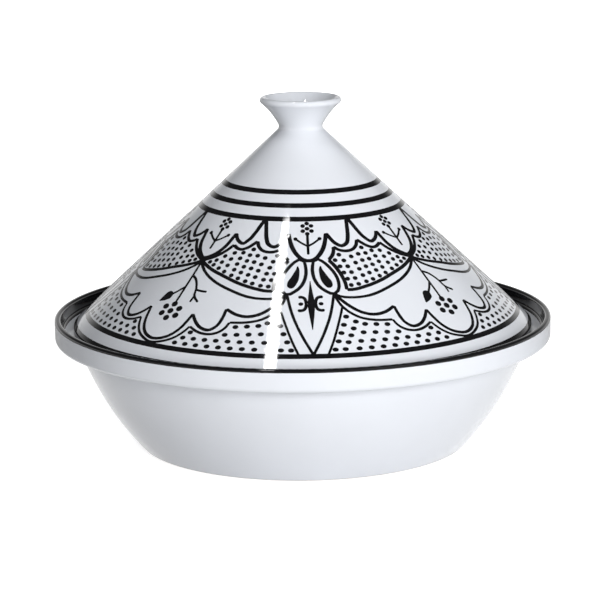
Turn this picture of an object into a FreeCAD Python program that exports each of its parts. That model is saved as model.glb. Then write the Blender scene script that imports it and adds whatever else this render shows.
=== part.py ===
import FreeCAD, Part
import math
import os

# Tagine pot: a round stoneware dish and a tall conical lid with a flared hollow knob.
# Millimetres, +Z up. The axis of the pot is Z, and z = 0 is the surface that it stands on.

# Dish: heights above the table
dish_height = 80.4        # top of the lip
collar_height = 14.2      # lip top down to the underside of the collar
gallery_depth = 9.2       # lip top down to the ledge that carries the lid
floor_thickness = 8.0
foot_recess = 2.5         # hollow under the middle of the floor

# Dish: radii and walls
collar_radius = 155.0
lip_thickness = 4.0
foot_radius = 103.4
collar_overhang = 13.8    # how far the collar stands out from the top of the bowl
bowl_bulge = 4.2          # how far the bowl swells past a straight wall
bowl_wall = 6.5
foot_ring_width = 9.0

# Dish: rounded edges
lip_round = 1.6
collar_round = 2.6
under_collar_round = 4.0
gallery_round = 2.5
bowl_edge_round = 1.6
bowl_floor_round = 16.0
foot_round = 1.2

# Lid
gutter_width = 7.7        # free space between the lid's edge and the lip
lid_edge_height = 4.0
lid_rise = 126.2          # ledge up to the neck of the knob
neck_radius = 13.0
lid_wall = 6.0
lid_seat_width = 6.5      # flat ring that rests on the ledge
lid_edge_round = 1.8
lid_seat_round = 0.8
lid_shoulder_round = 3.0  # inside, where the edge meets the cone
neck_round = 3.0

# Knob
knob_radius = 25.3
knob_height = 18.7        # neck up to the top of the knob
knob_wall = 4.0
flare_radius = 44.0       # hollow curve from the neck out to the knob's rim
cup_depth = 16.0
cup_round = 4.0
crown_thickness = 7.5     # clay between the cup and the inside of the lid

# The lid stands on the dish's ledge
ledge_height = dish_height - gallery_depth

AXIS = FreeCAD.Vector(0, 0, 1)


def at(radius, height):
    """A point of a profile, in the plane through the axis."""
    return FreeCAD.Vector(radius, 0, height)


def line(start, end):
    return Part.LineSegment(start, end).toShape()


def arc(centre, start, end):
    """The short arc about centre from start to end."""
    half = (start - centre) + (end - centre)
    middle = centre + half.normalize() * (start - centre).Length
    return Part.Arc(start, middle, end).toShape()


def bulged_centre(start, end, bulge):
    """Centre of the arc that swells by bulge to the right of the way from start to end."""
    way = end - start
    outward = FreeCAD.Vector(way.z, 0, -way.x).normalize()
    radius = (way.Length ** 2 / 4 + bulge ** 2) / (2 * bulge)
    return (start + end) / 2 + outward * (bulge - radius)


def crossing_centre(first, first_radius, second, second_radius):
    """The point at the two given distances from first and second, right of the way between them."""
    way = second - first
    along = (way.Length ** 2 + first_radius ** 2 - second_radius ** 2) / (2 * way.Length)
    aside = math.sqrt(first_radius ** 2 - along ** 2)
    unit = way / way.Length
    return first + unit * along + FreeCAD.Vector(unit.z, 0, -unit.x) * aside


def on_circle(centre, radius, height):
    """The outer point of a circle at a height."""
    return at(centre.x + math.sqrt(radius ** 2 - (height - centre.z) ** 2), height)


def turned(edges):
    """The solid swept by a closed profile once round the axis."""
    face = Part.Face(Part.Wire(edges))
    return face.revolve(FreeCAD.Vector(0, 0, 0), AXIS, 360)


def rounded(solid, corner, radius):
    """The solid with its round edge through a profile corner rounded off."""
    def off_corner(edge):
        return edge.distToShape(Part.Vertex(corner))[0]

    lengths = [edge for edge in solid.Edges if not edge.Degenerated]
    circles = [edge for edge in lengths if isinstance(edge.Curve, Part.Circle)]
    rings = [edge for edge in circles if edge.Curve.Axis.isParallel(AXIS, 1e-6)]
    return solid.makeFillet(radius, [min(rings, key=off_corner)])


def base_dish():
    """Shallow bowl under an upright collar, with a ledge and gutter inside the lip."""
    underside = dish_height - collar_height
    bowl_top_radius = collar_radius - collar_overhang
    lip_inside = collar_radius - lip_thickness

    foot_outer = at(foot_radius, 0)
    bowl_top = at(bowl_top_radius, underside)
    bowl_centre = bulged_centre(foot_outer, bowl_top, bowl_bulge)
    bowl_inner = (foot_outer - bowl_centre).Length - bowl_wall

    collar_low = at(collar_radius, underside)
    lip_outer = at(collar_radius, dish_height)
    lip_inner = at(lip_inside, dish_height)
    gallery = at(lip_inside, ledge_height)
    bowl_edge = on_circle(bowl_centre, bowl_inner, ledge_height)
    bowl_floor = on_circle(bowl_centre, bowl_inner, floor_thickness)
    floor_top = at(0, floor_thickness)
    floor_under = at(0, foot_recess)
    recess_edge = at(foot_radius - foot_ring_width, foot_recess)
    foot_inner = at(foot_radius - foot_ring_width, 0)

    dish = turned([
        arc(bowl_centre, foot_outer, bowl_top),
        line(bowl_top, collar_low),
        line(collar_low, lip_outer),
        line(lip_outer, lip_inner),
        line(lip_inner, gallery),
        line(gallery, bowl_edge),
        arc(bowl_centre, bowl_edge, bowl_floor),
        line(bowl_floor, floor_top),
        line(floor_top, floor_under),
        line(floor_under, recess_edge),
        line(recess_edge, foot_inner),
        line(foot_inner, foot_outer),
    ])
    dish = rounded(dish, bowl_top, under_collar_round)
    dish = rounded(dish, collar_low, collar_round)
    dish = rounded(dish, lip_outer, lip_round)
    dish = rounded(dish, lip_inner, lip_round)
    dish = rounded(dish, gallery, gallery_round)
    dish = rounded(dish, bowl_edge, bowl_edge_round)
    dish = rounded(dish, bowl_floor, bowl_floor_round)
    dish = rounded(dish, foot_outer, foot_round)
    dish = rounded(dish, foot_inner, foot_round)
    return dish


def conical_lid():
    """Hollow cone with a flat seat at its edge and a trumpet-shaped cup for a knob."""
    edge_radius = collar_radius - lip_thickness - gutter_width
    seat_radius = edge_radius - lid_seat_width
    neck_height = ledge_height + lid_rise

    seat_inner = at(seat_radius, ledge_height)
    seat_outer = at(edge_radius, ledge_height)
    cone_edge = at(edge_radius, ledge_height + lid_edge_height)
    neck = at(neck_radius, neck_height)

    # The knob's wall is a band of even thickness along an arc, closed by a half-round rim.
    rim_round = knob_wall / 2
    rim_centre = at(knob_radius - rim_round, neck_height + knob_height - rim_round)
    flare_centre = crossing_centre(neck, flare_radius, rim_centre, flare_radius + rim_round)
    across = (rim_centre - flare_centre).normalize() * rim_round
    along = FreeCAD.Vector(across.z, 0, -across.x)
    rim_outer = rim_centre - across
    rim_inner = rim_centre + across
    rim_tip = rim_centre + along
    cup_floor_height = neck_height + knob_height - cup_depth
    cup_reach = flare_radius + knob_wall
    cup_side = math.sqrt(cup_reach ** 2 - (cup_floor_height - flare_centre.z) ** 2)
    cup_corner = at(flare_centre.x - cup_side, cup_floor_height)

    # Inside, the cone runs parallel to the outside and ends in a round crown.
    slope = math.atan2(edge_radius - neck_radius, neck.z - cone_edge.z)
    inside_apex = neck.z + neck_radius / math.tan(slope) - lid_wall / math.sin(slope)
    crown_height = cup_floor_height - crown_thickness
    crown_radius = (inside_apex - crown_height) / (1 / math.sin(slope) - 1)
    crown_centre = at(0, crown_height - crown_radius)
    crown_side = crown_centre + at(math.cos(slope), math.sin(slope)) * crown_radius
    shoulder = at(seat_radius, inside_apex - seat_radius / math.tan(slope))

    lid = turned([
        line(seat_inner, seat_outer),
        line(seat_outer, cone_edge),
        line(cone_edge, neck),
        arc(flare_centre, neck, rim_outer),
        Part.Arc(rim_outer, rim_tip, rim_inner).toShape(),
        arc(flare_centre, rim_inner, cup_corner),
        line(cup_corner, at(0, cup_floor_height)),
        line(at(0, cup_floor_height), at(0, crown_height)),
        arc(crown_centre, at(0, crown_height), crown_side),
        line(crown_side, shoulder),
        line(shoulder, seat_inner),
    ])
    lid = rounded(lid, neck, neck_round)
    lid = rounded(lid, cone_edge, lid_edge_round)
    lid = rounded(lid, seat_outer, lid_seat_round)
    lid = rounded(lid, seat_inner, lid_seat_round)
    lid = rounded(lid, shoulder, lid_shoulder_round)
    lid = rounded(lid, cup_corner, cup_round)
    return lid


os.makedirs("parts", exist_ok=True)
for node in (base_dish, conical_lid):
    solid = node()
    solid.exportStep("parts/" + node.__name__ + ".step")
    print(node.__name__, "valid:", solid.isValid(), "volume:", round(solid.Volume / 1000), "cm3")
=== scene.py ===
"""Tagine pot: a white glazed dish and conical lid, painted with black enamel, on a white stage."""
import math

import bpy
import numpy as np
from mathutils import Matrix, Vector


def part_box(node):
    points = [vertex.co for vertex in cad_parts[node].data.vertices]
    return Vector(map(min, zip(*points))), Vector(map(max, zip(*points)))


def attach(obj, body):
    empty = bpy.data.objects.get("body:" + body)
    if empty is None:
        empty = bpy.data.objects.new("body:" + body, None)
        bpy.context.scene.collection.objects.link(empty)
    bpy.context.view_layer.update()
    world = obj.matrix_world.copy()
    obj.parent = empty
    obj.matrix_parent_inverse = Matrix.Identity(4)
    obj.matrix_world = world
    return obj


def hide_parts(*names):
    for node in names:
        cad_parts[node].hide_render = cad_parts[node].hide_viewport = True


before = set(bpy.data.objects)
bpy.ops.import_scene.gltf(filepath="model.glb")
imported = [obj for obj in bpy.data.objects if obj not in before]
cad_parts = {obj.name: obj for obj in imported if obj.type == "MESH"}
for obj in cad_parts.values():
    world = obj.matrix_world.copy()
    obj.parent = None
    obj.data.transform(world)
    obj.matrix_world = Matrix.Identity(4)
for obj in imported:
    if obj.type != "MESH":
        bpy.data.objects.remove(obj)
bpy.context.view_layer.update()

bl_info = {
    "name": "Tagine Pot",
    "version": (1, 0, 0),
    "blender": (4, 5, 0),
    "location": "View3D > Sidebar > Tagine",
    "description": "Builds a glazed tagine pot with painted ornament around its packed CAD frame",
    "category": "Add Mesh",
}

DISH_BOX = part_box("base_dish")
LID_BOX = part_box("conical_lid")
MM = 0.001

# How finely the surfaces are cut
TURN_STEPS = 512
ARC_STEPS = 24
FINE_ARC = 6.0 * MM  # shorter arcs are cut as coarsely as rounded corners
ROUND_STEPS = 7
# Straight stretches get a point this far from each end, so that the shading stays flat between
# them, but on a short stretch the margin is no more than this share of it
FLAT_MARGIN, FLAT_SHARE = 0.4 * MM, 0.3
STROKE_STEPS = 22
STROKE_END_STEPS = 5
DOT_SIDES = 12
SHARP_ANGLE = math.radians(40)

GLAZE, ENAMEL, CLAY = range(3)


def length(name, description, default):
    """A property that holds a length in metres."""
    return bpy.props.FloatProperty(
        name=name, description=description, default=default, min=0.0,
        unit="LENGTH", subtype="DISTANCE",
    )


def colour(name, description, default):
    """A property that holds a linear colour."""
    return bpy.props.FloatVectorProperty(
        name=name, description=description, default=default, size=3, min=0.0, max=1.0,
        subtype="COLOR",
    )


class TagineDishSizes(bpy.types.PropertyGroup):
    """Sizes of the dish."""

    collar_radius: length("Collar radius", "Outside of the upright collar", DISH_BOX[1][0])
    height: length("Height", "Top of the lip above the table", DISH_BOX[1][2])
    collar_height: length("Collar height", "Lip down to the underside of the collar", 14.2 * MM)
    gallery_depth: length("Gallery depth", "Lip down to the ledge", DISH_BOX[1][2] - LID_BOX[0][2])
    floor: length("Floor", "Thickness from the table to the inside of the floor", 8.0 * MM)
    foot_recess: length("Foot recess", "Hollow under the middle", 2.5 * MM)
    lip: length("Lip", "Thickness of the lip", 4.0 * MM)
    foot_radius: length("Foot radius", "Outside of the foot ring", 103.4 * MM)
    overhang: length("Overhang", "How far the collar stands out from the bowl", 13.8 * MM)
    bulge: length("Bulge", "How far the bowl swells past a straight wall", 4.2 * MM)
    wall: length("Wall", "Thickness of the bowl", 6.5 * MM)
    foot_width: length("Foot width", "Width of the bare foot ring", 9.0 * MM)
    lip_round: length("Lip round", "Rounding of the lip", 1.6 * MM)
    collar_round: length("Collar round", "Rounding of the collar's lower edge", 2.6 * MM)
    under_round: length("Under round", "Rounding under the collar", 4.0 * MM)
    gallery_round: length("Gallery round", "Rounding in the gutter", 2.5 * MM)
    edge_round: length("Edge round", "Rounding where the ledge meets the bowl", 1.6 * MM)
    floor_round: length("Floor round", "Rounding inside at the floor", 16.0 * MM)
    foot_round: length("Foot round", "Rounding of the foot ring", 1.2 * MM)
    enamel_outside: length("Enamel outside", "How far black reaches down outside the lip", 2.0 * MM)


class TagineLidSizes(bpy.types.PropertyGroup):
    """Sizes of the lid and its knob."""

    edge_radius: length("Edge radius", "Outside of the lid's edge", LID_BOX[1][0])
    seat_height: length("Seat height", "Height of the ledge that carries the lid", LID_BOX[0][2])
    edge_height: length("Edge height", "Upright edge below the cone", 4.0 * MM)
    rise: length("Rise", "Ledge up to the neck of the knob", 126.2 * MM)
    neck_radius: length("Neck radius", "Narrowest place under the knob", 13.0 * MM)
    wall: length("Wall", "Thickness of the cone", 6.0 * MM)
    seat_width: length("Seat width", "Flat ring that rests on the ledge", 6.5 * MM)
    edge_round: length("Edge round", "Rounding of the cone's lower edge", 1.8 * MM)
    seat_round: length("Seat round", "Rounding of the seat", 0.8 * MM)
    shoulder_round: length("Shoulder round", "Rounding inside above the seat", 3.0 * MM)
    neck_round: length("Neck round", "Rounding of the neck", 3.0 * MM)
    knob_radius: length("Knob radius", "Outside of the knob's rim", 25.3 * MM)
    knob_wall: length("Knob wall", "Thickness of the knob's rim", 4.0 * MM)
    flare_radius: length("Flare radius", "Hollow curve from the neck to the rim", 44.0 * MM)
    cup_depth: length("Cup depth", "Depth of the hollow in the knob", 16.0 * MM)
    cup_round: length("Cup round", "Rounding at the bottom of the hollow", 4.0 * MM)
    crown: length("Crown", "Clay between the hollow and the inside of the lid", 7.5 * MM)


class TaginePaint(bpy.types.PropertyGroup):
    """Places of the painted bands, and how the ornament is painted and turned.

    Slants are measured along the cone from its tip.
    """

    ring_slant: length("First ring", "Slant of the highest ring", 65.9 * MM)
    ring_pitch: length("Ring pitch", "Slant from one ring to the next", 10.1 * MM)
    ring_width: length("Ring width", "Width of a ring", 3.65 * MM)
    band_slant: length("Lower band", "Slant of the band below the ornament", 184.5 * MM)
    band_width: length("Lower band width", "Width of that band", 3.4 * MM)
    edge_slant: length("Edge band", "Slant where the black of the lid's edge starts", 193.3 * MM)
    lift: length("Lift", "How far the enamel stands proud of the glaze", 0.06 * MM)
    sink: length("Sink", "How far a stroke reaches into the glaze", 0.06 * MM)
    weight: bpy.props.FloatProperty(
        name="Weight", description="How heavy the brush strokes are",
        default=1.25, min=0.1, subtype="FACTOR",
    )
    turn: bpy.props.FloatProperty(
        name="Turn", description="How far the ornament is turned from the front",
        default=math.radians(2.6), unit="ROTATION", subtype="ANGLE",
    )


class TagineColours(bpy.types.PropertyGroup):
    """Colours of the finishes and the stage."""

    glaze: colour("Glaze", "Cool white glaze", (0.78, 0.805, 0.855))
    enamel: colour("Enamel", "Black enamel", (0.006, 0.006, 0.007))
    clay: colour("Clay", "Bare stoneware", (0.60, 0.47, 0.33))
    stage: colour("Stage", "Floor", (0.58, 0.58, 0.58))


class TaginePotSettings(bpy.types.PropertyGroup):
    """All that a user may change."""

    dish: bpy.props.PointerProperty(type=TagineDishSizes)
    lid: bpy.props.PointerProperty(type=TagineLidSizes)
    paint: bpy.props.PointerProperty(type=TaginePaint)
    colours: bpy.props.PointerProperty(type=TagineColours)


# Profiles

def unit(vector):
    """The vector over its own length."""
    return vector / np.linalg.norm(vector)


def bulged_centre(start, end, bulge):
    """Centre of the arc that swells by bulge to the right of the way from start to end.

    The radius is (half the way squared + bulge squared) / (2 bulge).
    """
    way = end - start
    outward = unit(np.array([way[1], -way[0]]))
    radius = (way @ way / 4 + bulge ** 2) / (2 * bulge)
    return (start + end) / 2 + outward * (bulge - radius)


def crossing_centre(first, first_radius, second, second_radius):
    """The point at the two given distances from first and second, right of the way between them.

    Along the way it lies at (way squared + first squared - second squared) / (2 way).
    """
    way = second - first
    size = np.linalg.norm(way)
    along = (size ** 2 + first_radius ** 2 - second_radius ** 2) / (2 * size)
    aside = math.sqrt(first_radius ** 2 - along ** 2)
    return first + way / size * along + np.array([way[1], -way[0]]) / size * aside


def on_circle(centre, radius, height, side=1):
    """The point of a circle at a height, on its outer or inner side.

    Its reach from the centre is the root of radius squared - rise squared.
    """
    reach = math.sqrt(radius ** 2 - (height - centre[1]) ** 2)
    return np.array([centre[0] + side * reach, height])


class Run:
    """One stretch of a profile: straight, or the short arc about a centre, and its finish."""

    def __init__(self, start, end, finish=GLAZE, centre=None):
        self.start, self.end, self.finish, self.centre = start, end, finish, centre
        self.size = np.linalg.norm(end - start)
        if centre is not None:
            self.radius = np.linalg.norm(start - centre)
            first = start - centre
            last = end - centre
            self.angle = math.atan2(first[1], first[0])
            self.sweep = math.atan2(first[0] * last[1] - first[1] * last[0], first @ last)
            self.size = abs(self.sweep) * self.radius

    def at(self, share):
        """Points at shares of the way.

        On a straight stretch that is start plus share of the way, on an arc centre plus radius at
        an angle.
        """
        share = np.atleast_1d(share)[:, None]
        if self.centre is None:
            return self.start + (self.end - self.start) * share
        angle = self.angle + self.sweep * share
        return self.centre + self.radius * np.hstack([np.cos(angle), np.sin(angle)])

    def shares(self):
        """Shares of the way at which the run is cut into steps."""
        if self.centre is None:
            margin = min(FLAT_MARGIN / self.size, FLAT_SHARE)
            return np.array([0.0, margin, 1.0 - margin, 1.0])
        steps = ARC_STEPS if self.size > FINE_ARC else ROUND_STEPS
        return np.linspace(0.0, 1.0, steps + 1)

    def heading(self, share):
        """Unit direction at a share of the way: along the line, or across the arc's radius."""
        if self.centre is None:
            return unit(self.end - self.start)
        angle = self.angle + self.sweep * share
        return np.array([-math.sin(angle), math.cos(angle)]) * math.copysign(1.0, self.sweep)


def runs_between(corners, finishes, arcs):
    """The runs from corner to corner; arcs holds the centres of those that aren't straight."""
    return [
        Run(corners[i], corners[i + 1], finish, arcs.get(i)) for i, finish in enumerate(finishes)
    ]


def rounded_profile(runs, rounds):
    """Points and finishes along the runs, with a round of the given radius at the end of each run.

    A corner that turns by t is cut off radius * tan(t / 2) along both runs, and the gap is bridged
    by a cubic curve with the runs' directions at its ends, which is nearly an arc of that radius.
    """
    count = len(runs)
    cut = np.zeros((count, 2))
    for i in range(count - 1):
        turn = math.acos(np.clip(runs[i].heading(1.0) @ runs[i + 1].heading(0.0), -1.0, 1.0))
        cut[i, 1] = cut[i + 1, 0] = rounds[i] * math.tan(turn / 2)
    points, finishes = [], []
    for i, run in enumerate(runs):
        first, last = cut[i, 0] / run.size, 1.0 - cut[i, 1] / run.size
        piece = run.at(first + (last - first) * run.shares())
        if points and cut[i, 0] <= 0:
            piece = piece[1:]
        points.append(piece)
        finishes += [run.finish] * len(piece)
        if i < count - 1 and cut[i, 1] > 0:
            follow = runs[i + 1]
            share = cut[i + 1, 0] / follow.size
            leave, arrive = run.heading(last), follow.heading(share)
            turn = math.acos(np.clip(leave @ arrive, -1.0, 1.0))
            reach = 4 / 3 * math.tan(turn / 4) * cut[i, 1] / math.tan(turn / 2)
            t = np.linspace(0.0, 1.0, ROUND_STEPS + 1)[1:-1, None]
            p0, p3 = run.at(last)[0], follow.at(share)[0]
            p1, p2 = p0 + leave * reach, p3 - arrive * reach
            points.append(
                (1 - t) ** 3 * p0 + 3 * (1 - t) ** 2 * t * p1
                + 3 * (1 - t) * t ** 2 * p2 + t ** 3 * p3
            )
            finishes += [run.finish] * (ROUND_STEPS - 1)
    return np.vstack(points), np.array(finishes)


def turned_surface(profile):
    """Surface of revolution: point (r, z) of the profile goes to (r sin a, -r cos a, z) at angle a.

    The profile starts and ends on the axis, and each of those points is one vertex.
    """
    angle = np.linspace(0.0, 2 * math.pi, TURN_STEPS, endpoint=False)
    ring = profile[1:-1]
    count = len(ring)
    x = np.sin(angle)[:, None] * ring[:, 0]
    y = -np.cos(angle)[:, None] * ring[:, 0]
    z = np.broadcast_to(ring[:, 1], x.shape)
    points = np.stack([x, y, z], axis=-1).reshape(-1, 3)
    poles = np.array([[0.0, 0.0, profile[0, 1]], [0.0, 0.0, profile[-1, 1]]])
    here = np.arange(TURN_STEPS)[:, None] * count
    there = np.roll(here, -1, axis=0)
    k = np.arange(count - 1)
    quads = np.stack([here + k, there + k, there + k + 1, here + k + 1], axis=-1).reshape(-1, 4)
    low, high = len(points), len(points) + 1
    here, there = here[:, 0], there[:, 0]
    low_fan = np.stack([np.full_like(here, low), there, here], axis=-1)
    high_fan = np.stack([here + count - 1, there + count - 1, np.full_like(here, high)], axis=-1)
    return np.vstack([points, poles]), quads, np.vstack([low_fan, high_fan])


# Meshes and materials

def add_piece(name, points, faces, materials, body, finish=None):
    """Object at the origin with its place in its mesh, riding on a body."""
    mesh = bpy.data.meshes.new(name)
    mesh.from_pydata(points.tolist(), [], faces)
    for material in materials:
        mesh.materials.append(material)
    if finish is not None:
        mesh.polygons.foreach_set("material_index", np.ascontiguousarray(finish, dtype=np.int32))
    mesh.polygons.foreach_set("use_smooth", np.ones(len(mesh.polygons), dtype=bool))
    mesh.set_sharp_from_angle(angle=SHARP_ANGLE)
    mesh.update()
    piece = bpy.data.objects.new(name, mesh)
    bpy.context.scene.collection.objects.link(piece)
    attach(piece, body)
    return piece


def add_turned(name, runs, rounds, materials, body, node):
    """A turned piece that stands for a CAD node, with the finish of each stretch of its profile."""
    profile, finishes = rounded_profile(runs, rounds)
    points, quads, fans = turned_surface(profile)
    finish = np.concatenate([
        np.tile(finishes[2:-1], TURN_STEPS),
        np.full(TURN_STEPS, finishes[0]),
        np.full(TURN_STEPS, finishes[-1]),
    ])
    faces = quads.tolist() + fans.tolist()
    piece = add_piece(name, points, faces, materials, body, finish)
    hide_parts(node)


NOISE_LOW, NOISE_HIGH = 0.3, 0.7  # most values of a noise lie between these
GLAZE_IOR = 1.5


def new_material(name):
    """A new material with its nodes, principled shader and object coordinates.

    A material that is there already comes without the rest.
    """
    found = bpy.data.materials.get(name)
    if found:
        return found, None, None, None
    material = bpy.data.materials.new(name)
    material.use_nodes = True
    tree = material.node_tree
    shader = tree.nodes["Principled BSDF"]
    place = tree.nodes.new("ShaderNodeTexCoord").outputs["Object"]
    return material, tree, shader, place


def noise(tree, place, scale, detail=3.0, roughness=0.5):
    """A noise texture on object coordinates, its scale in waves per metre."""
    node = tree.nodes.new("ShaderNodeTexNoise")
    node.inputs["Scale"].default_value = scale
    node.inputs["Detail"].default_value = detail
    node.inputs["Roughness"].default_value = roughness
    tree.links.new(place, node.inputs["Vector"])
    return node.outputs["Fac"]


def ramp(tree, source, low, high, first, last):
    """A colour ramp from first at low to last at high."""
    node = tree.nodes.new("ShaderNodeValToRGB")
    node.color_ramp.elements[0].position = low
    node.color_ramp.elements[1].position = high
    node.color_ramp.elements[0].color = (*first, 1.0)
    node.color_ramp.elements[1].color = (*last, 1.0)
    tree.links.new(source, node.inputs["Fac"])
    return node.outputs["Color"]


def spread(tree, source, low, high):
    """The source's middle range spread over low to high."""
    node = tree.nodes.new("ShaderNodeMapRange")
    node.inputs["From Min"].default_value = NOISE_LOW
    node.inputs["From Max"].default_value = NOISE_HIGH
    node.inputs["To Min"].default_value = low
    node.inputs["To Max"].default_value = high
    tree.links.new(source, node.inputs["Value"])
    return node.outputs["Result"]


def bump(tree, source, height, strength, below=None):
    """A bump of the given height in metres, over another bump where one is given."""
    node = tree.nodes.new("ShaderNodeBump")
    node.inputs["Strength"].default_value = strength
    node.inputs["Distance"].default_value = height
    tree.links.new(source, node.inputs["Height"])
    if below is not None:
        tree.links.new(below, node.inputs["Normal"])
    return node.outputs["Normal"]


def shaded(base, factor):
    """A colour times a factor, kept in range."""
    return tuple(min(1.0, part * factor) for part in base)


def glaze_waves(tree, place):
    """The slow waves of a glaze that ran before it set."""
    return bump(tree, noise(tree, place, scale=30.0, detail=1.0), height=0.03 * MM, strength=0.5)


def glaze_material(colours):
    """Glossy white glaze: faint clouds of tone, slow waves and a fine orange peel."""
    material, tree, shader, place = new_material("pot_glaze")
    if tree is None:
        return material
    clouds = noise(tree, place, scale=18.0)
    thin, thick = shaded(colours.glaze, 0.975), shaded(colours.glaze, 1.01)
    tone = ramp(tree, clouds, NOISE_LOW, NOISE_HIGH, thin, thick)
    tree.links.new(tone, shader.inputs["Base Color"])
    gloss = spread(tree, noise(tree, place, scale=70.0), low=0.025, high=0.055)
    tree.links.new(gloss, shader.inputs["Roughness"])
    pores = noise(tree, place, scale=600.0, detail=1.0)
    peel = bump(tree, pores, height=0.001 * MM, strength=0.5, below=glaze_waves(tree, place))
    tree.links.new(peel, shader.inputs["Normal"])
    shader.inputs["IOR"].default_value = GLAZE_IOR
    return material


def enamel_material(colours):
    """Black enamel under the same glaze, a little thinner in places."""
    material, tree, shader, place = new_material("pot_enamel")
    if tree is None:
        return material
    streaks = noise(tree, place, scale=260.0, detail=4.0, roughness=0.6)
    thick, thin = shaded(colours.enamel, 0.7), shaded(colours.enamel, 1.6)
    tone = ramp(tree, streaks, low=0.35, high=0.75, first=thick, last=thin)
    tree.links.new(tone, shader.inputs["Base Color"])
    gloss = spread(tree, noise(tree, place, scale=120.0), low=0.03, high=0.06)
    tree.links.new(gloss, shader.inputs["Roughness"])
    tree.links.new(glaze_waves(tree, place), shader.inputs["Normal"])
    shader.inputs["IOR"].default_value = GLAZE_IOR
    return material


def clay_material(colours):
    """Bare stoneware: matt, speckled with darker grains, slightly rough."""
    material, tree, shader, place = new_material("pot_stoneware")
    if tree is None:
        return material
    grains = noise(tree, place, scale=900.0, detail=4.0, roughness=0.7)
    dark = shaded(colours.clay, 0.7)
    tone = ramp(tree, grains, low=0.35, high=0.6, first=dark, last=colours.clay)
    tree.links.new(tone, shader.inputs["Base Color"])
    tree.links.new(spread(tree, grains, low=0.75, high=0.95), shader.inputs["Roughness"])
    tree.links.new(bump(tree, grains, height=0.05 * MM, strength=0.6), shader.inputs["Normal"])
    return material


def finishes_of(settings):
    """The three finishes, in the order of the finish numbers."""
    colours = settings.colours
    return [glaze_material(colours), enamel_material(colours), clay_material(colours)]


# Painted ornament. An azimuth is measured from the front to the right, which is against the clock
# seen from above. Strokes are listed as (degrees from an axis of the ornament, millimetres
# of slant from the cone's tip, millimetres of width).

CONE_SPREAD = 0.73  # sine of the cone's slope, near enough to space points along a stroke
STROKE_TIP = 0.04  # share of the width that is left at the very end of a stroke
STROKE_STEP = 0.0015 * MM  # each stroke lies this much above the last, so crossings stay clean
DOT_LIFT = 0.9  # share of the strokes' lift that a dot has


class Cone:
    """The outside of the lid's cone: its tip, and sine and cosine of its slope from the axis."""

    def __init__(self, lid):
        top = lid.seat_height + lid.rise
        low = lid.seat_height + lid.edge_height
        slope = math.atan2(lid.edge_radius - lid.neck_radius, top - low)
        self.sine, self.cosine = math.sin(slope), math.cos(slope)
        self.tip = top + lid.neck_radius / math.tan(slope)

    def point(self, azimuth, slant, lift):
        """Slant down the cone and lift along its normal.

        The radius is slant sin + lift cos, the height tip - slant cos + lift sin.
        """
        radius = slant * self.sine + lift * self.cosine
        height = self.tip - slant * self.cosine + lift * self.sine
        return np.stack([radius * np.sin(azimuth), -radius * np.cos(azimuth), height], axis=-1)


def smooth_line(stroke):
    """Points and half-widths along a smooth line through a few given points, with round ends.

    Cubic pieces between the points, whose slopes are those of the chords over their neighbours.
    Over the last half-width at each end the width follows a half circle.
    """
    knots = np.array(stroke, dtype=float)
    flat = np.column_stack([np.radians(knots[:, 0]) * knots[:, 1] * CONE_SPREAD, knots[:, 1]])
    way = np.concatenate([[0.0], np.cumsum(np.linalg.norm(np.diff(flat, axis=0), axis=1))])
    if len(knots) > 2:
        slope = np.gradient(knots, way, axis=0)
    else:
        slope = np.diff(knots, axis=0).repeat(2, 0) / way[-1]
    ends = knots[[0, -1], 2] / 2
    quarter = np.linspace(0.0, math.pi / 2, STROKE_END_STEPS + 1)
    first = ends[0] * (1 - np.cos(quarter))
    last = way[-1] - ends[1] * (1 - np.cos(quarter[::-1]))
    middle = np.linspace(first[-1], last[0], STROKE_STEPS)[1:-1]
    place = np.concatenate([first, middle, last])
    piece = np.clip(np.searchsorted(way, place, side="right") - 1, 0, len(way) - 2)
    span = (way[piece + 1] - way[piece])[:, None]
    t = (place - way[piece])[:, None] / span
    path = (
        (2 * t ** 3 - 3 * t ** 2 + 1) * knots[piece]
        + (t ** 3 - 2 * t ** 2 + t) * span * slope[piece]
        + (3 * t ** 2 - 2 * t ** 3) * knots[piece + 1]
        + (t ** 3 - t ** 2) * span * slope[piece + 1]
    )
    half = path[:, 2] / 2
    taper = np.concatenate([np.sin(quarter), np.ones(len(middle)), np.sin(quarter[::-1])])
    return path[:, 0], path[:, 1], half * np.maximum(taper, STROKE_TIP)


def ribbons(cone, paint, strokes, copies):
    """Flat enamel strokes: a box section carried along each path on the cone, for each copy.

    On the unrolled cone the path's direction is (r da, ds), and the section lies across it.
    """
    points, faces, start = [], [], 0
    for number, stroke in enumerate(strokes):
        angle, slant, half = smooth_line(stroke)
        half = half * paint.weight
        turn, side = copies[:, :1], copies[:, 1:]
        azimuth = turn + side * np.radians(angle)
        slant = np.broadcast_to(slant * MM, azimuth.shape)
        radius = slant * cone.sine
        along = np.gradient(azimuth, axis=1) * radius
        down = np.gradient(slant, axis=1)
        size = np.hypot(along, down)
        aside = down / size * half * MM / radius
        below = -along / size * half * MM
        lift = paint.lift + STROKE_STEP * number
        rows = np.stack([
            cone.point(azimuth - aside, slant - below, -paint.sink),
            cone.point(azimuth - aside, slant - below, lift),
            cone.point(azimuth + aside, slant + below, lift),
            cone.point(azimuth + aside, slant + below, -paint.sink),
        ], axis=2)
        count, steps = azimuth.shape
        points.append(rows.reshape(-1, 3))
        index = start + np.arange(count * steps * 4).reshape(count, steps, 4)
        over = np.roll(index, -1, axis=2)
        walls = np.stack([index[:, :-1], index[:, 1:], over[:, 1:], over[:, :-1]], axis=-1)
        faces.append(walls.reshape(-1, 4))
        faces.append(index[:, 0])
        faces.append(index[:, -1, ::-1])
        start += count * steps * 4
    return np.vstack(points), faces


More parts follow.
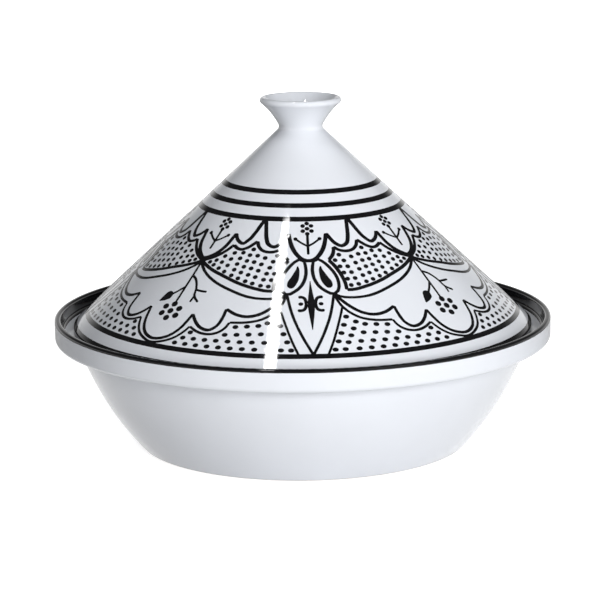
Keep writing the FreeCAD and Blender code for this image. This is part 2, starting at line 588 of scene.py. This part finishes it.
def spots(cone, paint, dots, copies):
    """Flat oval spots: low prisms, outlined by (width cos, height sin) / 2 on the unrolled cone."""
    dots = np.array(dots, dtype=float)
    turn, side = copies[:, :1], copies[:, 1:]
    azimuth = (turn + side * np.radians(dots[:, 0])).reshape(-1, 1)
    slant = np.tile(dots[:, 1] * MM, len(copies)).reshape(-1, 1)
    wide, high = (np.tile(dots[:, k] * MM / 2, len(copies)).reshape(-1, 1) for k in (2, 3))
    ring = np.linspace(0.0, 2 * math.pi, DOT_SIDES, endpoint=False)
    around = azimuth + wide * np.cos(ring) / (slant * cone.sine)
    down = slant - high * np.sin(ring)
    rows = np.stack([
        cone.point(around, down, -paint.sink),
        cone.point(around, down, paint.lift * DOT_LIFT),
    ], axis=1)
    count = len(rows)
    index = np.arange(count * 2 * DOT_SIDES).reshape(count, 2, DOT_SIDES)
    over = np.roll(index, -1, axis=2)
    walls = np.stack([index[:, 0], over[:, 0], over[:, 1], index[:, 1]], axis=-1).reshape(-1, 4)
    return rows.reshape(-1, 3), [walls, index[:, 1], index[:, 0, ::-1]]


def joined(*groups):
    """Several groups of points, each with arrays of faces, as one."""
    points, faces, start = [], [], 0
    for group_points, group_faces in groups:
        points.append(group_points)
        for array in group_faces:
            faces += (array + start).tolist()
        start += len(group_points)
    return np.vstack(points), faces


def quarter_copies(paint, offset=0.0, count=4, sides=(1.0,)):
    """Turns and sides of the copies of a stroke: turn plus offset plus whole rounds / count."""
    turns = paint.turn + math.radians(offset) + np.arange(count) * 2 * math.pi / count
    return np.array([(turn, side) for turn in turns for side in sides])


def over_axis(half, axis):
    """A stroke and its mirror image, at 2 axis - angle, as one line from end to end."""
    mirrored = [(2 * axis - angle, slant, width) for angle, slant, width in half[-2::-1]]
    return list(half) + mirrored


BOTH = (1.0, -1.0)
# The two kinds of axis of the ornament alternate every 45 degrees: one runs through the pointed
# medallions, the other through the hanging sprigs.
SPRIG_AXIS = 45.0

# Upper edging: wide lobes on the axes, small lobes between them, hung from the third ring
UPPER_WIDE_LOBE = [
    (9.0, 97.0, 2.0), (7.8, 103.4, 2.1), (6.5, 108.2, 2.2), (4.9, 112.0, 2.2), (2.3, 115.9, 2.1),
    (0, 116.8, 2.0),
]
UPPER_SPRIG_LOBE = [
    (35.5, 98.8, 1.9), (36.4, 103.3, 2.0), (37.7, 108.9, 2.1), (39.5, 113.3, 2.2),
    (42.0, 117.0, 2.2), (45.0, 119.2, 2.1),
]
UPPER_SMALL_LOBES = [
    [
        (9.0, 97.0, 2.0), (10.4, 100.5, 2.0), (12.6, 104.9, 2.0), (15.2, 106.9, 1.9),
        (17.5, 105.3, 2.0), (19.4, 100.0, 2.1), (20.6, 94.0, 2.0), (21.9, 87.6, 2.0),
    ],
    [
        (22.9, 87.6, 2.0), (24.1, 91.4, 2.0), (25.5, 96.7, 2.0), (27.6, 102.6, 2.0),
        (30.3, 105.6, 1.9), (32.9, 103.6, 1.9), (35.5, 98.8, 1.9),
    ],
]
# Outline of the dotted panel
PANEL_EDGES = [
    [
        (12.4, 138.7, 1.8), (12.4, 133.5, 1.9), (11.3, 126.0, 2.0), (9.7, 120.4, 2.0),
        (8.0, 116.6, 1.8),
    ],
    [(8.0, 116.6, 1.7), (10.0, 113.1, 1.9), (10.8, 110.2, 1.8), (11.1, 107.2, 1.7)],
    [
        (11.1, 107.2, 1.8), (13.2, 109.6, 1.7), (16.6, 110.8, 1.7), (19.6, 109.8, 1.7),
        (21.6, 107.3, 1.8), (23.0, 103.3, 1.8),
    ],
    [
        (23.0, 103.3, 1.8), (24.9, 106.0, 1.8), (27.0, 108.6, 1.8), (29.8, 110.0, 1.7),
        (32.0, 109.0, 1.8), (33.7, 107.2, 1.8),
    ],
    [
        (33.7, 107.2, 1.8), (35.3, 110.4, 1.8), (37.4, 113.8, 1.8), (40.5, 117.5, 1.9),
        (44.2, 120.2, 2.2),
    ],
]
SWAGS = [
    [
        (12.4, 138.7, 1.8), (14.8, 138.8, 1.8), (18.4, 137.6, 1.8), (25.0, 134.5, 1.8),
        (31.6, 130.4, 1.8), (39.4, 125.8, 1.8), (45.0, 121.5, 1.8),
    ],
    [
        (7.9, 141.3, 1.6), (9.6, 143.1, 1.5), (13.0, 144.3, 1.4), (16.0, 144.5, 1.4),
        (19.8, 143.8, 1.5), (27.4, 139.6, 1.5), (35.5, 133.9, 1.5), (39.5, 130.1, 1.5),
        (42.4, 126.4, 1.6), (45.0, 121.8, 2.0),
    ],
]
PINCH = [(0, 119.2, 3.2), (0, 121.2, 4.4), (0, 123.2, 2.6)]
# Lower edging: two lines of lobes that sink towards the hanging sprig
LOWER_LOBES = [
    [
        (8.0, 141.4, 1.6), (10.3, 147.0, 1.7), (12.6, 151.5, 1.7), (15.5, 155.6, 1.7),
        (19.5, 157.6, 1.7), (22.8, 156.4, 1.7), (26.1, 153.2, 1.6),
    ],
    [
        (26.1, 153.2, 1.6), (26.4, 159.8, 1.7), (27.2, 165.3, 1.7), (29.5, 169.0, 1.7),
        (32.2, 167.6, 1.7), (34.4, 164.0, 1.7), (36.4, 159.1, 1.6),
    ],
    [
        (7.7, 141.6, 1.4), (9.5, 150.0, 1.4), (11.8, 155.3, 1.4), (14.5, 159.1, 1.4),
        (17.9, 161.3, 1.4), (23.8, 162.5, 1.3),
    ],
    [
        (23.8, 162.5, 1.3), (24.5, 166.2, 1.4), (26.2, 169.9, 1.4), (29.5, 171.9, 1.4),
        (32.8, 170.6, 1.4), (35.4, 167.9, 1.3),
    ],
]
LOWER_SPRIG_LOBES = [
    [
        (36.4, 159.1, 1.6), (37.0, 163.5, 1.7), (38.4, 171.0, 1.7), (40.6, 176.5, 1.7),
        (42.7, 178.9, 1.7), (45.0, 179.9, 1.6),
    ],
    [
        (35.4, 167.9, 1.3), (36.4, 171.8, 1.4), (38.6, 177.2, 1.4), (42.2, 181.2, 1.4),
        (45.0, 182.6, 1.4),
    ],
]
# Medallion: a pair of eyes with drops, a spindle on the axis, hooks and long rays
MEDALLION_SIDES = [
    [
        (3.9, 116.0, 1.6), (2.2, 116.4, 1.6), (1.5, 119.5, 1.6), (1.2, 123.5, 1.7),
        (1.6, 129.5, 1.7), (3.2, 135.5, 1.7), (5.4, 139.2, 1.7), (7.8, 141.2, 1.8),
        (9.3, 139.0, 1.7), (10.1, 133.0, 1.7), (9.4, 126.8, 1.7), (7.4, 121.0, 1.7),
        (5.4, 117.4, 1.6), (3.6, 115.6, 1.6),
    ],
    [
        (4.4, 120.7, 0.6), (4.3, 123.0, 1.6), (4.7, 126.0, 2.8), (5.4, 130.0, 4.0),
        (6.3, 133.2, 4.3), (6.9, 136.6, 2.7),
    ],
    [(1.5, 147.9, 1.6), (1.6, 145.6, 1.6), (2.2, 143.5, 1.6), (3.1, 142.9, 1.6), (4.0, 143.1, 1.6)],
    [(1.5, 147.6, 1.6), (1.6, 149.9, 1.6), (2.2, 151.9, 1.6), (3.1, 152.5, 1.6), (4.1, 152.3, 1.6)],
    [(7.6, 141.8, 1.4), (5.4, 157.0, 1.4), (3.7, 166.0, 1.4), (0.0, 183.6, 1.4)],
    [(9.6, 150.6, 1.2), (7.4, 163.0, 1.2), (5.4, 174.5, 1.2), (3.7, 183.6, 1.2)],
]
SPINDLE = [
    (0.1, 131.5, 0.4), (0.1, 138.0, 1.5), (0.1, 143.5, 2.7), (0.1, 148.0, 3.5), (0.1, 152.5, 3.0),
    (0.1, 159.0, 1.8), (0.1, 166.0, 0.4),
]
# Spots: degrees from the axis, slant, width and height in millimetres
HOOK_DOT = [(3.15, 147.8, 3.0, 2.5)]
# Upright sprig in each wide lobe, in degrees from its own axis
UPRIGHT_COUNT = 8
UPRIGHT_STEM = [(0, 96.5, 1.3), (0, 112.3, 1.3)]
UPRIGHT_BRANCH = [(0, 106.2, 1.1), (2.7, 103.9, 1.1), (5.6, 100.8, 1.1)]
UPRIGHT_HEAD = [(0, 89.4, 2.9, 2.8), (0, 93.2, 2.9, 2.8), (0, 97.0, 2.9, 2.8)]
UPRIGHT_HEAD_SIDES = [(2.15, 91.2, 2.9, 2.8), (2.15, 95.0, 2.9, 2.8), (5.6, 100.8, 2.5, 2.5)]
# Hanging sprig with a leaf on one side and a twig on the other, in degrees from its own axis
HANGING_STROKES = [
    [(0, 122.0, 1.3), (0, 153.5, 1.3)],
    [(-0.1, 141.2, 1.2), (-1.4, 144.0, 1.2), (-3.6, 148.0, 1.2)],
    [(-3.3, 147.3, 2.2), (-4.4, 148.8, 4.9), (-5.5, 151.2, 4.0), (-7.0, 154.3, 0.6)],
    [
        (0.2, 132.8, 1.3), (2.1, 134.6, 1.3), (3.6, 137.6, 1.3), (4.7, 141.2, 1.3),
        (5.5, 146.3, 1.3), (8.0, 150.5, 1.2),
    ],
    [(5.0, 142.2, 1.2), (7.2, 142.6, 1.2), (9.4, 142.7, 1.2)],
    [(5.6, 146.3, 1.2), (5.4, 148.6, 1.2), (5.2, 151.3, 1.2)],
]
HANGING_BUNCH = [(0, 154.3, 4.5, 4.0), (0, 159.4, 4.5, 4.0), (0, 164.5, 4.5, 4.0)]
HANGING_BUNCH_SIDES = [(2.75, 156.9, 4.5, 4.0), (2.75, 161.9, 4.5, 4.0)]
# Columns of dots in the panel: degrees and slant of the first and of the last dot, number of dots
PANEL_COLUMNS = [
    (10.6, 117.0, 14.3, 135.6, 5), (12.7, 113.2, 17.1, 135.2, 6), (17.7, 115.1, 20.2, 133.9, 5),
    (21.1, 113.7, 23.0, 132.6, 5), (23.7, 109.3, 26.1, 130.9, 6), (27.8, 112.2, 29.1, 129.2, 5),
    (31.7, 112.9, 32.6, 127.0, 4), (35.4, 115.9, 35.6, 125.0, 3), (38.4, 119.5, 38.6, 123.1, 2),
    (41.0, 121.4, 41.0, 121.4, 1),
]
PANEL_DOT = (3.1, 2.95)
PANEL_DRIFT = 0.7  # the columns lean more at their upper ends
# Lines of dots on the ground below, given likewise: two along the rays, the rest along the band
GROUND_LINES = [
    (10.1, 157.7, 5.6, 180.3, 5), (12.6, 161.6, 8.2, 180.3, 5), (11.8, 180.3, 37.5, 180.3, 9),
    (12.7, 175.3, 35.8, 176.2, 8), (14.0, 169.4, 24.0, 171.2, 4), (15.1, 163.7, 21.6, 165.3, 3),
    (34.3, 171.9, 34.3, 171.9, 1),
]
GROUND_DOT = (3.8, 2.95)
GROUND_DRIFT = 1.0


def dot_lines(lines, dot, drift):
    """Dots from the first to the last of each line.

    They take even steps of slant, and share ** drift of the turn.
    """
    dots = []
    for first, high, last, low, count in lines:
        share = np.linspace(0.0, 1.0, count)
        angle = first + (last - first) * share ** drift
        slant = high + (low - high) * share
        dots.append(np.column_stack([angle, slant, np.tile(dot, (count, 1))]))
    return np.vstack(dots)


class TagineOperator:
    """What the tagine's operators share."""

    bl_options = {"REGISTER", "UNDO"}


class TaginePainter(TagineOperator):
    """What the operators that paint the lid share: strokes and spots make one piece."""

    def execute(self, context):
        settings = context.scene.tagine_pot
        points, faces = joined(*self.groups(Cone(settings.lid), settings.paint))
        enamel = enamel_material(settings.colours)
        add_piece(self.piece, points, faces, [enamel], "lid")
        return {"FINISHED"}


class TAGINE_OT_dish(TagineOperator, bpy.types.Operator):
    """Turn the dish: bowl, collar with black lip, gallery and bare foot ring"""

    bl_idname = "tagine.dish"
    bl_label = "Dish"

    def execute(self, context):
        settings = context.scene.tagine_pot
        d = settings.dish
        under = d.height - d.collar_height
        ledge = d.height - d.gallery_depth
        inside = d.collar_radius - d.lip
        foot_outer = np.array([d.foot_radius, 0.0])
        bowl_top = np.array([d.collar_radius - d.overhang, under])
        centre = bulged_centre(foot_outer, bowl_top, d.bulge)
        inner = np.linalg.norm(foot_outer - centre) - d.wall
        corners = [
            np.array([0.0, d.foot_recess]),
            np.array([d.foot_radius - d.foot_width, d.foot_recess]),
            np.array([d.foot_radius - d.foot_width, 0.0]),
            foot_outer,
            bowl_top,
            np.array([d.collar_radius, under]),
            np.array([d.collar_radius, d.height - d.enamel_outside]),
            np.array([d.collar_radius, d.height]),
            np.array([inside, d.height]),
            np.array([inside, ledge]),
            on_circle(centre, inner, ledge),
            on_circle(centre, inner, d.floor),
            np.array([0.0, d.floor]),
        ]
        finishes = [
            GLAZE, GLAZE, CLAY, GLAZE, GLAZE, GLAZE,
            ENAMEL, ENAMEL, ENAMEL, GLAZE, GLAZE, GLAZE,
        ]
        arcs = {3: centre, 10: centre}
        rounds = [
            0.0, d.foot_round, d.foot_round, d.under_round, d.collar_round, 0.0,
            d.lip_round, d.lip_round, d.gallery_round, d.edge_round, d.floor_round,
        ]
        runs = runs_between(corners, finishes, arcs)
        add_turned("dish", runs, rounds, finishes_of(settings), "base", "base_dish")
        return {"FINISHED"}


class TAGINE_OT_lid(TagineOperator, bpy.types.Operator):
    """Turn the lid: cone with its black rings, bands and edge, and the hollow knob"""

    bl_idname = "tagine.lid"
    bl_label = "Lid"

    def execute(self, context):
        settings = context.scene.tagine_pot
        d, paint = settings.lid, settings.paint
        cone = Cone(d)
        slope = math.atan2(cone.sine, cone.cosine)
        seat = d.edge_radius - d.seat_width
        neck = np.array([d.neck_radius, d.seat_height + d.rise])
        top = LID_BOX[1][2]

        rim_round = d.knob_wall / 2
        rim = np.array([d.knob_radius - rim_round, top - rim_round])
        flare = crossing_centre(neck, d.flare_radius, rim, d.flare_radius + rim_round)
        across = unit(rim - flare) * rim_round
        along = np.array([across[1], -across[0]])
        cup_floor = top - d.cup_depth
        cup_corner = on_circle(flare, d.flare_radius + d.knob_wall, cup_floor, -1)

        inside_tip = cone.tip - d.wall / cone.sine
        crown_height = cup_floor - d.crown
        crown_radius = (inside_tip - crown_height) / (1 / cone.sine - 1)
        crown = np.array([0.0, crown_height - crown_radius])
        crown_side = crown + np.array([cone.cosine, cone.sine]) * crown_radius

        def on_cone(slant):
            """Profile point at a slant: (slant sin, tip - slant cos)."""
            return np.array([slant * cone.sine, cone.tip - slant * cone.cosine])

        corners = [
            np.array([0.0, crown_height]),
            crown_side,
            np.array([seat, inside_tip - seat / math.tan(slope)]),
            np.array([seat, d.seat_height]),
            np.array([d.edge_radius, d.seat_height]),
            np.array([d.edge_radius, d.seat_height + d.edge_height]),
            on_cone(paint.edge_slant),
        ]
        finishes = [GLAZE, GLAZE, GLAZE, CLAY, ENAMEL, ENAMEL]
        rounds = [0.0, d.shoulder_round, d.seat_round, d.seat_round, d.edge_round, 0.0]
        bands = [(paint.band_slant, paint.band_width)]
        for step in (2, 1, 0):
            bands.append((paint.ring_slant + paint.ring_pitch * step, paint.ring_width))
        for slant, width in bands:
            corners += [on_cone(slant + width / 2), on_cone(slant - width / 2)]
            finishes += [GLAZE, ENAMEL]
            rounds += [0.0, 0.0]
        arcs = {0: crown}
        last = len(corners)
        knob = [
            neck, rim - across, rim + along, rim + across, cup_corner, np.array([0.0, cup_floor]),
        ]
        corners += knob
        finishes += [GLAZE] * len(knob)
        rounds += [d.neck_round, 0.0, 0.0, 0.0, d.cup_round]
        arcs.update({last: flare, last + 1: rim, last + 2: rim, last + 3: flare})
        runs = runs_between(corners, finishes, arcs)
        add_turned("lid", runs, rounds, finishes_of(settings), "lid", "conical_lid")
        return {"FINISHED"}


class TAGINE_OT_edgings(TaginePainter, bpy.types.Operator):
    """Paint the scalloped edgings above and below the ornament, and the outline of the panels"""

    bl_idname = "tagine.edgings"
    bl_label = "Scalloped edgings"
    piece = "lid_edgings"

    def groups(self, cone, paint):
        pairs = quarter_copies(paint, sides=BOTH)
        whole = [over_axis(UPPER_WIDE_LOBE, 0.0)]
        whole += [over_axis(half, SPRIG_AXIS) for half in [UPPER_SPRIG_LOBE] + LOWER_SPRIG_LOBES]
        return [
            ribbons(cone, paint, UPPER_SMALL_LOBES + PANEL_EDGES + LOWER_LOBES, pairs),
            ribbons(cone, paint, whole, quarter_copies(paint)),
        ]


class TAGINE_OT_swags(TaginePainter, bpy.types.Operator):
    """Paint the double swags under the panels and the knots that they hang from"""

    bl_idname = "tagine.swags"
    bl_label = "Swags"
    piece = "lid_swags"

    def groups(self, cone, paint):
        return [
            ribbons(cone, paint, SWAGS, quarter_copies(paint, sides=BOTH)),
            ribbons(cone, paint, [PINCH], quarter_copies(paint, SPRIG_AXIS)),
        ]


class TAGINE_OT_medallions(TaginePainter, bpy.types.Operator):
    """Paint the pointed medallions: eyes with drops, spindle, hooks and rays"""

    bl_idname = "tagine.medallions"
    bl_label = "Medallions"
    piece = "lid_medallions"

    def groups(self, cone, paint):
        pairs = quarter_copies(paint, sides=BOTH)
        return [
            ribbons(cone, paint, MEDALLION_SIDES, pairs),
            ribbons(cone, paint, [SPINDLE], quarter_copies(paint)),
            spots(cone, paint, HOOK_DOT, pairs),
        ]


class TAGINE_OT_sprigs(TaginePainter, bpy.types.Operator):
    """Paint the upright and hanging sprigs"""

    bl_idname = "tagine.sprigs"
    bl_label = "Sprigs"
    piece = "lid_sprigs"

    def groups(self, cone, paint):
        upright = quarter_copies(paint, count=UPRIGHT_COUNT)
        upright_sides = quarter_copies(paint, count=UPRIGHT_COUNT, sides=BOTH)
        hanging = quarter_copies(paint, SPRIG_AXIS)
        hanging_sides = quarter_copies(paint, SPRIG_AXIS, sides=BOTH)
        return [
            ribbons(cone, paint, [UPRIGHT_STEM], upright),
            ribbons(cone, paint, [UPRIGHT_BRANCH], upright_sides),
            spots(cone, paint, UPRIGHT_HEAD, upright),
            spots(cone, paint, UPRIGHT_HEAD_SIDES, upright_sides),
            ribbons(cone, paint, HANGING_STROKES, hanging),
            spots(cone, paint, HANGING_BUNCH, hanging),
            spots(cone, paint, HANGING_BUNCH_SIDES, hanging_sides),
        ]


class TAGINE_OT_dots(TaginePainter, bpy.types.Operator):
    """Paint the dots of the panels and of the ground below"""

    bl_idname = "tagine.dots"
    bl_label = "Dots"
    piece = "lid_dots"

    def groups(self, cone, paint):
        pairs = quarter_copies(paint, sides=BOTH)
        return [
            spots(cone, paint, dot_lines(PANEL_COLUMNS, PANEL_DOT, PANEL_DRIFT), pairs),
            spots(cone, paint, dot_lines(GROUND_LINES, GROUND_DOT, GROUND_DRIFT), pairs),
        ]


# Stage

# Camera: the point it looks at, its distance, its height over the horizon, its lean and its lens
CAMERA_TARGET = Vector((-1.5 * MM, 0.0, 87.8 * MM))
CAMERA_DISTANCE = 1.6
CAMERA_ELEVATION = math.radians(12.13)
CAMERA_ROLL = math.radians(-0.57)
CAMERA_LENS = 153.1
FLOOR_REACH = 8.0
FLOOR_HEIGHT = -0.2 * MM  # just under the foot ring
# Glow of the floor near the pot, where its shadow shows, and farther out
GLOW_NEAR, GLOW_FAR = 0.86, 1.0
GLOW_NEAR_RADIUS, GLOW_FAR_RADIUS = 0.25, 0.80
WHITE = (1.0, 1.0, 1.0, 1.0)
# Mirrored rays see the white of the table round the pot, and a darker room farther out
TABLE_RADIUS, ROOM_RADIUS, ROOM_TONE = 0.17, 0.32, 0.2
POT_MIDDLE = (0.0, 0.0, 0.10)
# Lamps: name, place, point faced, turn about its own direction, width, height, power, and whether
# mirrors show it
LAMPS = [
    ("key", (0.77, -2.01, 0.56), POT_MIDDLE, 0.0, 1.6, 1.0, 45.5, False),
    ("upper", (1.13, -0.95, 1.73), POT_MIDDLE, 0.0, 1.2, 1.2, 3.2, True),
    ("back", (0.0, 2.38, 0.43), POT_MIDDLE, 0.0, 0.8, 0.5, 32.0, False),
    (
        "overhead", (-0.193, -0.247, 1.15), (-0.193, -0.247, 0.0), math.radians(-10.0),
        0.078, 0.183, 1.4, True,
    ),
]
FILL = 0.20  # soft light from all round
# Surroundings in mirrors: white in directions that rise less than the first of these, and the tone
# of the ceiling in those that rise more than the second
WHITE_BELOW, CEILING_FROM, CEILING = 0.03, 0.40, 0.06


def add_lamp(name, place, target, turn, width, height, power, mirrored):
    """A soft rectangular lamp that faces a point."""
    lamp = bpy.data.lights.new(name, "AREA")
    lamp.shape = "RECTANGLE"
    lamp.size, lamp.size_y, lamp.energy = width, height, power
    holder = bpy.data.objects.new(name, lamp)
    facing = (Vector(target) - Vector(place)).to_track_quat("-Z", "Y").to_matrix().to_4x4()
    holder.matrix_world = Matrix.Translation(place) @ facing @ Matrix.Rotation(turn, 4, "Z")
    holder.visible_glossy = mirrored
    bpy.context.scene.collection.objects.link(holder)


def calculated(tree, operation, first, second):
    """The result of a math node on two sockets."""
    node = tree.nodes.new("ShaderNodeMath")
    node.operation = operation
    tree.links.new(first, node.inputs[0])
    tree.links.new(second, node.inputs[1])
    return node.outputs["Value"]


def faded(tree, source, near, far, first, last):
    """A smooth fade from first where the source is at near to last where it is at far."""
    node = tree.nodes.new("ShaderNodeMapRange")
    node.interpolation_type = "SMOOTHSTEP"
    node.inputs["From Min"].default_value = near
    node.inputs["From Max"].default_value = far
    node.inputs["To Min"].default_value = first
    node.inputs["To Max"].default_value = last
    tree.links.new(source, node.inputs["Value"])
    return node.outputs["Result"]


def straight_ray(tree):
    """1 for rays straight from the camera."""
    return tree.nodes.new("ShaderNodeLightPath").outputs["Is Camera Ray"]


def mirrored_ray(tree):
    """1 for rays that show the surroundings in a mirror or through glass."""
    path = tree.nodes.new("ShaderNodeLightPath")
    glossy, through = path.outputs["Is Glossy Ray"], path.outputs["Is Transmission Ray"]
    return calculated(tree, "MAXIMUM", glossy, through)


class TAGINE_OT_stage(TagineOperator, bpy.types.Operator):
    """Set up the white floor, the lamps, the surroundings and the camera"""

    bl_idname = "tagine.stage"
    bl_label = "Stage"

    def execute(self, context):
        scene = context.scene
        colours = scene.tagine_pot.colours

        mesh = bpy.data.meshes.new("floor")
        sides = ((-1, -1), (1, -1), (1, 1), (-1, 1))
        corners = [(FLOOR_REACH * x, FLOOR_REACH * y, FLOOR_HEIGHT) for x, y in sides]
        mesh.from_pydata(corners, [], [(0, 1, 2, 3)])
        floor = bpy.data.objects.new("floor", mesh)
        scene.collection.objects.link(floor)
        material = bpy.data.materials.new("stage_floor")
        material.use_nodes = True
        tree = material.node_tree
        shader = tree.nodes["Principled BSDF"]
        shader.inputs["Base Color"].default_value = (*colours.stage, 1.0)
        shader.inputs["Roughness"].default_value = 1.0
        shader.inputs["Specular IOR Level"].default_value = 0.0
        shader.inputs["Emission Color"].default_value = WHITE
        measure = tree.nodes.new("ShaderNodeVectorMath")
        measure.operation = "LENGTH"
        place = tree.nodes.new("ShaderNodeTexCoord").outputs["Object"]
        tree.links.new(place, measure.inputs[0])
        away = measure.outputs["Value"]
        table = faded(tree, away, TABLE_RADIUS, ROOM_RADIUS, 1.0, ROOM_TONE)
        mirrored = calculated(tree, "MULTIPLY", mirrored_ray(tree), table)
        seen = calculated(tree, "MAXIMUM", straight_ray(tree), mirrored)
        glow = faded(tree, away, GLOW_NEAR_RADIUS, GLOW_FAR_RADIUS, GLOW_NEAR, GLOW_FAR)
        shown = calculated(tree, "MULTIPLY", seen, glow)
        tree.links.new(shown, shader.inputs["Emission Strength"])
        mesh.materials.append(material)

        world = bpy.data.worlds.new("studio")
        scene.world = world
        world.use_nodes = True
        tree = world.node_tree
        soft = tree.nodes["Background"]
        soft.inputs["Color"].default_value = WHITE
        soft.inputs["Strength"].default_value = FILL
        white = tree.nodes.new("ShaderNodeBackground")
        white.inputs["Color"].default_value = WHITE
        rise = tree.nodes.new("ShaderNodeSeparateXYZ")
        direction = tree.nodes.new("ShaderNodeTexCoord").outputs["Generated"]
        tree.links.new(direction, rise.inputs["Vector"])
        sky = faded(tree, rise.outputs["Z"], WHITE_BELOW, CEILING_FROM, 1.0, CEILING)
        straight = straight_ray(tree)
        tree.links.new(calculated(tree, "MAXIMUM", straight, sky), white.inputs["Strength"])
        mix = tree.nodes.new("ShaderNodeMixShader")
        seen = calculated(tree, "MAXIMUM", straight, mirrored_ray(tree))
        tree.links.new(seen, mix.inputs["Fac"])
        tree.links.new(soft.outputs["Background"], mix.inputs[1])
        tree.links.new(white.outputs["Background"], mix.inputs[2])
        tree.links.new(mix.outputs["Shader"], tree.nodes["World Output"].inputs["Surface"])

        for lamp in LAMPS:
            add_lamp(*lamp)

        camera = bpy.data.cameras.new("camera")
        camera.lens = CAMERA_LENS
        holder = bpy.data.objects.new("camera", camera)
        back = Vector((0.0, -math.cos(CAMERA_ELEVATION), math.sin(CAMERA_ELEVATION)))
        tilt = Matrix.Rotation(math.pi / 2 - CAMERA_ELEVATION, 4, "X")
        roll = Matrix.Rotation(CAMERA_ROLL, 4, "Z")
        place = CAMERA_TARGET + back * CAMERA_DISTANCE
        holder.matrix_world = Matrix.Translation(place) @ tilt @ roll
        scene.collection.objects.link(holder)
        scene.camera = holder
        scene.view_settings.view_transform = "Standard"
        return {"FINISHED"}


OPERATORS = (
    TAGINE_OT_dish, TAGINE_OT_lid, TAGINE_OT_edgings, TAGINE_OT_swags, TAGINE_OT_medallions,
    TAGINE_OT_sprigs, TAGINE_OT_dots, TAGINE_OT_stage,
)


class TAGINE_PT_panel(bpy.types.Panel):
    """The tagine's pieces, each with its button."""

    bl_idname = "TAGINE_PT_panel"
    bl_label = "Tagine Pot"
    bl_space_type = "VIEW_3D"
    bl_region_type = "UI"
    bl_category = "Tagine"

    def draw(self, context):
        for operator in OPERATORS:
            self.layout.operator(operator.bl_idname)


CLASSES = (
    TagineDishSizes, TagineLidSizes, TaginePaint, TagineColours, TaginePotSettings,
) + OPERATORS + (TAGINE_PT_panel,)


def register():
    for item in CLASSES:
        bpy.utils.register_class(item)
    bpy.types.Scene.tagine_pot = bpy.props.PointerProperty(type=TaginePotSettings)


def unregister():
    del bpy.types.Scene.tagine_pot
    for item in reversed(CLASSES):
        bpy.utils.unregister_class(item)


def main():
    register()
    bpy.ops.tagine.dish()
    bpy.ops.tagine.lid()
    bpy.ops.tagine.edgings()
    bpy.ops.tagine.swags()
    bpy.ops.tagine.medallions()
    bpy.ops.tagine.sprigs()
    bpy.ops.tagine.dots()
    bpy.ops.tagine.stage()


if __name__ == "__main__":
    main()
